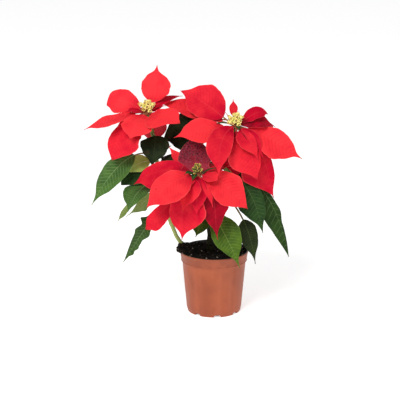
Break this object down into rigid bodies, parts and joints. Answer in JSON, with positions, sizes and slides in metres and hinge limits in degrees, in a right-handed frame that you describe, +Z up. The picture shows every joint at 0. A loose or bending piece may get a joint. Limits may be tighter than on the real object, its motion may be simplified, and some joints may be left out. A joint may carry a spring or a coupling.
{
  "type": "potted poinsettia plant",
  "caption": "Potted poinsettia with red flower heads over dark green leaves, in a thin terracotta-coloured plastic nursery pot.",
  "frame": {"origin": "centre of the pot's base, on the surface it stands on", "axes": "+Z up, -Y towards the viewer of the picture, +X to the viewer's right"},
  "size_m": [0.3716, 0.2535, 0.427],
  "materials": {
    "terracotta_plastic": "terracotta-coloured thin plastic, satin",
    "soil": "black-brown peat crumb",
    "stem": "green to woody brown bark",
    "red_bract": "bright red, soft satin, veined",
    "yellow_cyathia": "yellow-green with red-brown stamens",
    "green_leaf": "dark green, satin, with paler veins"
  },
  "bodies": {
    "root": {"pot": "terracotta_plastic", "soil": "soil", "stem_left": "stem", "stem_main": "stem", "bracts_left": "red_bract", "bracts_right": "red_bract", "bracts_lower": "red_bract", "cyathia_left": "yellow_cyathia", "cyathia_right": "yellow_cyathia", "cyathia_lower": "yellow_cyathia", "leaf_heart": "green_leaf", "leaf_left_large": "green_leaf", "leaf_left_pale": "green_leaf", "leaf_left_dark": "green_leaf", "leaf_left_middle": "green_leaf", "leaf_left_under": "green_leaf", "leaf_left_low": "green_leaf", "leaf_left_tip": "green_leaf", "leaf_right_dark": "green_leaf", "leaf_right_far": "green_leaf", "leaf_front": "green_leaf", "leaf_front_grey": "green_leaf", "leaf_small": "green_leaf", "leaf_between": "green_leaf", "leaf_gap": "green_leaf", "leaf_back_left": "green_leaf", "leaf_back_middle": "green_leaf", "leaf_back_right": "green_leaf", "leaf_back_low": "green_leaf"}
  },
  "joints": []
}
